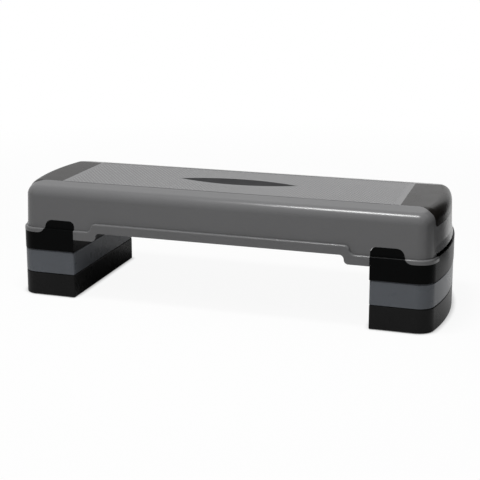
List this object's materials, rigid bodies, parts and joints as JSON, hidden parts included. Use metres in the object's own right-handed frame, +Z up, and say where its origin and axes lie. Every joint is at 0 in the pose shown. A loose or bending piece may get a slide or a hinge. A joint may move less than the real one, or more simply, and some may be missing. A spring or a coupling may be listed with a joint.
{
  "type": "aerobic step platform",
  "caption": "Long exercise step: a rounded deck with a tread field on end feet, standing on stacking riser blocks that lift off to change its height.",
  "frame": {"origin": "on the floor, under the middle of the deck", "axes": "+X along the deck towards its right end, +Y across it away from the viewer, +Z up"},
  "size_m": [0.9572, 0.331, 0.253],
  "materials": {
    "deck_grey": "moulded, fine grain",
    "badge_dark_grey": "satin",
    "cap_gloss_black": "glossy",
    "moulded_black": "semi-gloss",
    "riser_grey": "semi-gloss",
    "grip_rubber": "matt rubber",
    "screw_steel": "zinc plated"
  },
  "bodies": {
    "platform": {"centre_badge": "badge_dark_grey", "deck_shell": "deck_grey", "left_end_cap": "cap_gloss_black", "left_foot": "moulded_black", "left_foot_back_inner_pad": "grip_rubber", "left_foot_back_outer_pad": "grip_rubber", "left_foot_front_inner_pad": "grip_rubber", "left_foot_front_outer_pad": "grip_rubber", "left_foot_screws": "screw_steel", "right_end_cap": "cap_gloss_black", "right_foot": "moulded_black", "right_foot_back_inner_pad": "grip_rubber", "right_foot_back_outer_pad": "grip_rubber", "right_foot_front_inner_pad": "grip_rubber", "right_foot_front_outer_pad": "grip_rubber", "right_foot_screws": "screw_steel"},
    "left_base": {"left_base_back_inner_pad": "grip_rubber", "left_base_back_outer_pad": "grip_rubber", "left_base_front_inner_pad": "grip_rubber", "left_base_front_outer_pad": "grip_rubber", "left_base_riser": "moulded_black"},
    "left_mid": {"left_mid_back_inner_pad": "grip_rubber", "left_mid_back_outer_pad": "grip_rubber", "left_mid_front_inner_pad": "grip_rubber", "left_mid_front_outer_pad": "grip_rubber", "left_mid_riser": "riser_grey"},
    "right_base": {"right_base_back_inner_pad": "grip_rubber", "right_base_back_outer_pad": "grip_rubber", "right_base_front_inner_pad": "grip_rubber", "right_base_front_outer_pad": "grip_rubber", "right_base_riser": "moulded_black"},
    "right_mid": {"right_mid_back_inner_pad": "grip_rubber", "right_mid_back_outer_pad": "grip_rubber", "right_mid_front_inner_pad": "grip_rubber", "right_mid_front_outer_pad": "grip_rubber", "right_mid_riser": "riser_grey"}
  },
  "joints": [
    {"name": "left_mid_lift", "type": "slide", "parent": "left_base", "child": "left_mid", "axis": [0, 0, 1], "range_m": [0, 0.06]},
    {"name": "platform_lift", "type": "slide", "parent": "left_mid", "child": "platform", "axis": [0, 0, 1], "range_m": [0, 0.06]},
    {"name": "right_mid_drop", "type": "slide", "parent": "platform", "child": "right_mid", "axis": [0, 0, -1], "range_m": [0, 0.06]},
    {"name": "right_base_drop", "type": "slide", "parent": "right_mid", "child": "right_base", "axis": [0, 0, -1], "range_m": [0, 0.06]}
  ],
  "couplings": [
    {"joint": "right_mid_drop", "follows": "platform_lift", "ratio": 1},
    {"joint": "right_base_drop", "follows": "left_mid_lift", "ratio": 1}
  ]
}
